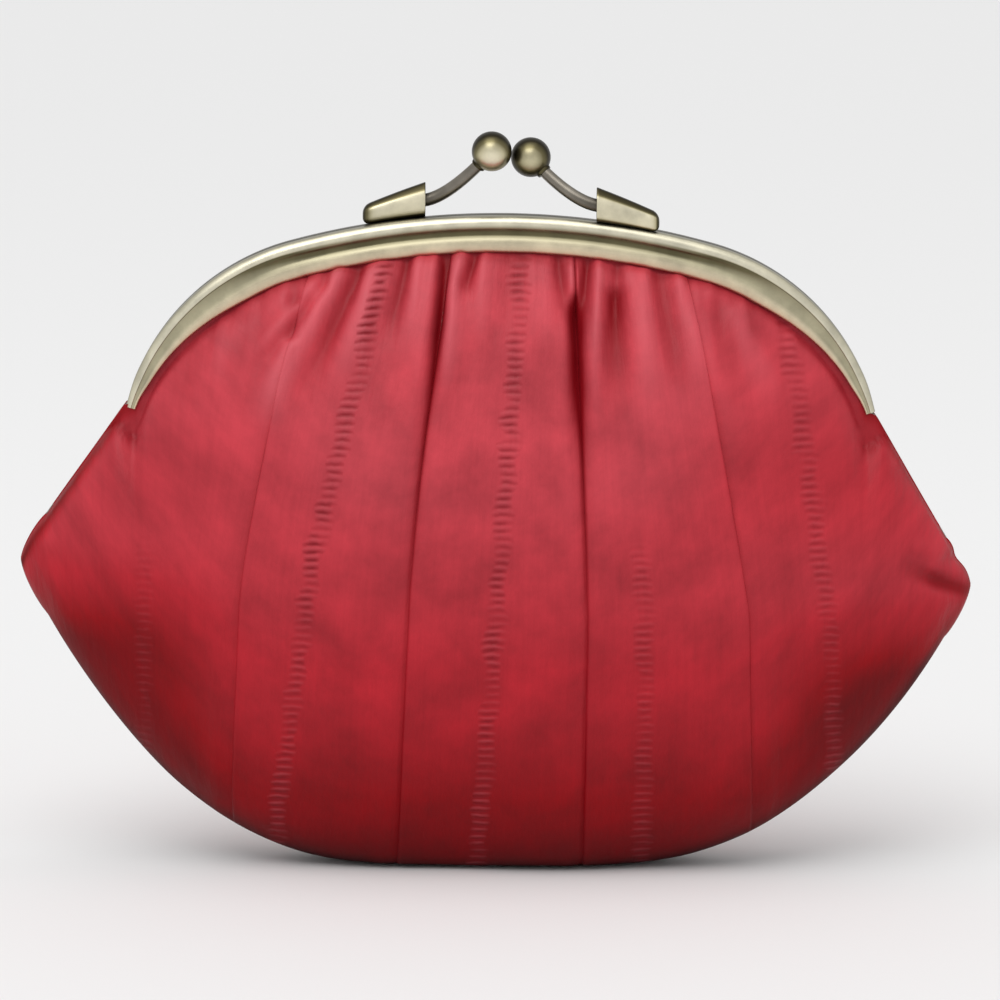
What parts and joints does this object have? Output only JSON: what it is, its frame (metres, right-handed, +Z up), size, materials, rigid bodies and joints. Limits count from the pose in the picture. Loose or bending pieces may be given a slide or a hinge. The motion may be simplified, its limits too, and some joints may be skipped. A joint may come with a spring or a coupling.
{
  "type": "coin purse",
  "caption": "Gathered leather coin purse on an arched two-part metal snap frame with a ball clasp, hinged at both ends of the arch.",
  "frame": {"origin": "bottom centre, on the surface the purse stands on", "axes": "+Z up, +X to the right along the frame, -Y is the front"},
  "size_m": [0.1768, 0.042, 0.1393],
  "materials": {
    "leather": "semi-matte eel skin, dyed red",
    "brass": "antiqued pale brass, worn bright on the beads",
    "dark_brass": "dark antiqued brass",
    "lining": "plain woven cotton",
    "paper": "twisted paper cord"
  },
  "bodies": {
    "pouch": {"front_lining": "lining", "rear_lining": "lining", "front_strip_1": "leather", "front_strip_2": "leather", "front_strip_3": "leather", "front_strip_4": "leather", "front_strip_5": "leather", "rear_strip_1": "leather", "rear_strip_2": "leather", "rear_strip_3": "leather", "rear_strip_4": "leather", "rear_strip_5": "leather", "left_hinge_rivet": "brass", "right_hinge_rivet": "brass"},
    "front_half": {"front_frame": "brass", "front_clasp_socket": "brass", "front_clasp_stem": "dark_brass", "front_clasp_ball": "brass", "front_packing_cord": "paper", "front_lining_top": "lining", "front_strip_1_top": "leather", "front_strip_2_top": "leather", "front_strip_3_top": "leather", "front_strip_4_top": "leather", "front_strip_5_top": "leather"},
    "rear_half": {"rear_frame": "brass", "rear_clasp_socket": "brass", "rear_clasp_stem": "dark_brass", "rear_clasp_ball": "brass", "rear_packing_cord": "paper", "rear_lining_top": "lining", "rear_strip_1_top": "leather", "rear_strip_2_top": "leather", "rear_strip_3_top": "leather", "rear_strip_4_top": "leather", "rear_strip_5_top": "leather"}
  },
  "joints": [
    {"name": "front_open", "type": "hinge", "parent": "pouch", "child": "front_half", "pos_m": [0, 0, 0.082], "axis": [1, 0, 0], "range_deg": [0, 45]},
    {"name": "rear_open", "type": "hinge", "parent": "pouch", "child": "rear_half", "pos_m": [0, 0, 0.082], "axis": [-1, 0, 0], "range_deg": [0, 45]}
  ],
  "couplings": [
    {"joint": "rear_open", "follows": "front_open", "ratio": 1}
  ]
}
